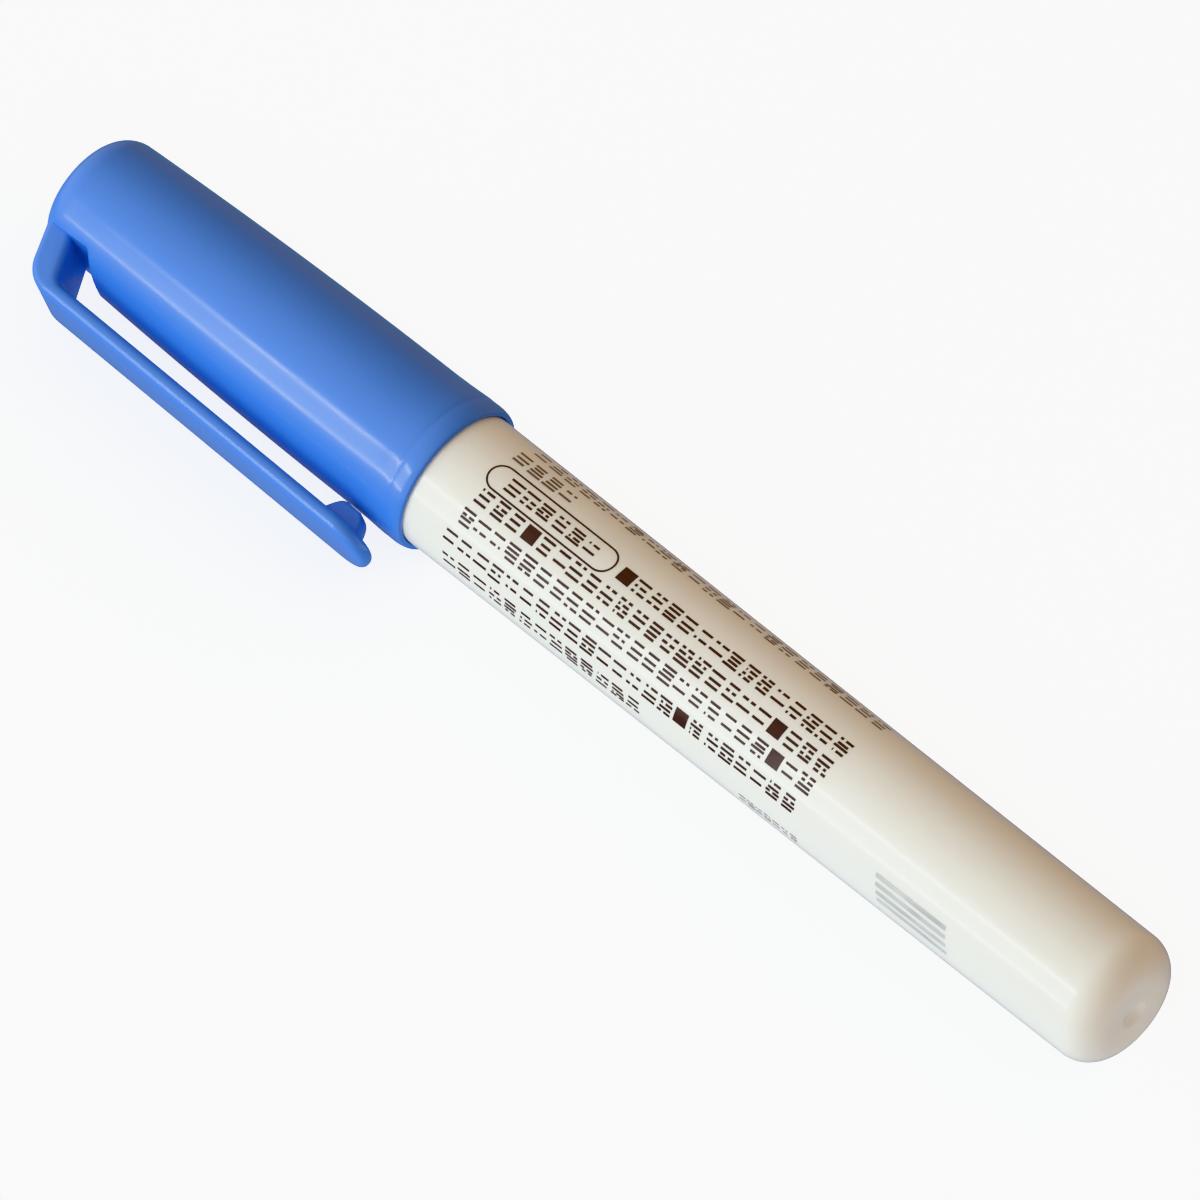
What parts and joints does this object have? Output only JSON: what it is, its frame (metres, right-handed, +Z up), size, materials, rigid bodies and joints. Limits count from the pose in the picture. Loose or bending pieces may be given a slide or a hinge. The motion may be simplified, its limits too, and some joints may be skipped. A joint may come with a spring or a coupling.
{
  "type": "fabric glue pen",
  "caption": "Capped twist-up glue pen for fabric, with a pocket clip moulded on the cap; a turn of its collar feeds a blue glue stick out of the nozzle.",
  "frame": {"origin": "centre of the bounding box in X and Y, on the surface that the pen lies on", "axes": "+X along the pen from the cap's top to the barrel's closed end, +Z up, the clip on the -Y side"},
  "size_m": [0.137, 0.0204, 0.0161],
  "materials": {
    "cap_blue": "moulded, glossy",
    "barrel_white": "moulded, slightly translucent, glossy",
    "natural_plastic": "natural, satin",
    "white_plastic": "moulded, satin",
    "blue_glue": null,
    "drag_rubber": "moulded",
    "print_ink": "thin screen-printed ink"
  },
  "bodies": {
    "barrel": {"barrel": "barrel_white"},
    "refill": {"tail_sleeve": "white_plastic", "drag_ring": "drag_rubber"},
    "turning_front": {"nozzle": "natural_plastic", "twist_collar": "white_plastic", "refill_tube": "natural_plastic", "feed_nut": "white_plastic"},
    "stick": {"push_rod": "white_plastic", "stick_holder": "white_plastic", "glue_stick": "blue_glue"},
    "cap": {"cap": "cap_blue", "inner_cap": "natural_plastic"}
  },
  "joints": [
    {"name": "refill_pull", "type": "slide", "parent": "barrel", "child": "refill", "axis": [-0.9999, 0, 0.012], "range_m": [0, 0.094]},
    {"name": "collar_twist", "type": "hinge", "parent": "refill", "child": "turning_front", "pos_m": [-0.0355, 0.00214, 0.0082], "axis": [0.9999, 0, -0.012], "range_deg": [0, 720]},
    {"name": "stick_feed", "type": "slide", "parent": "refill", "child": "stick", "axis": [-0.9999, 0, 0.012], "range_m": [0, 0.008]},
    {"name": "cap_pull", "type": "slide", "parent": "refill", "child": "cap", "axis": [-0.9999, 0, 0.012], "range_m": [0, 0.04]}
  ],
  "couplings": [
    {"joint": "stick_feed", "follows": "collar_twist", "m_per_rad": 0.00063662}
  ]
}
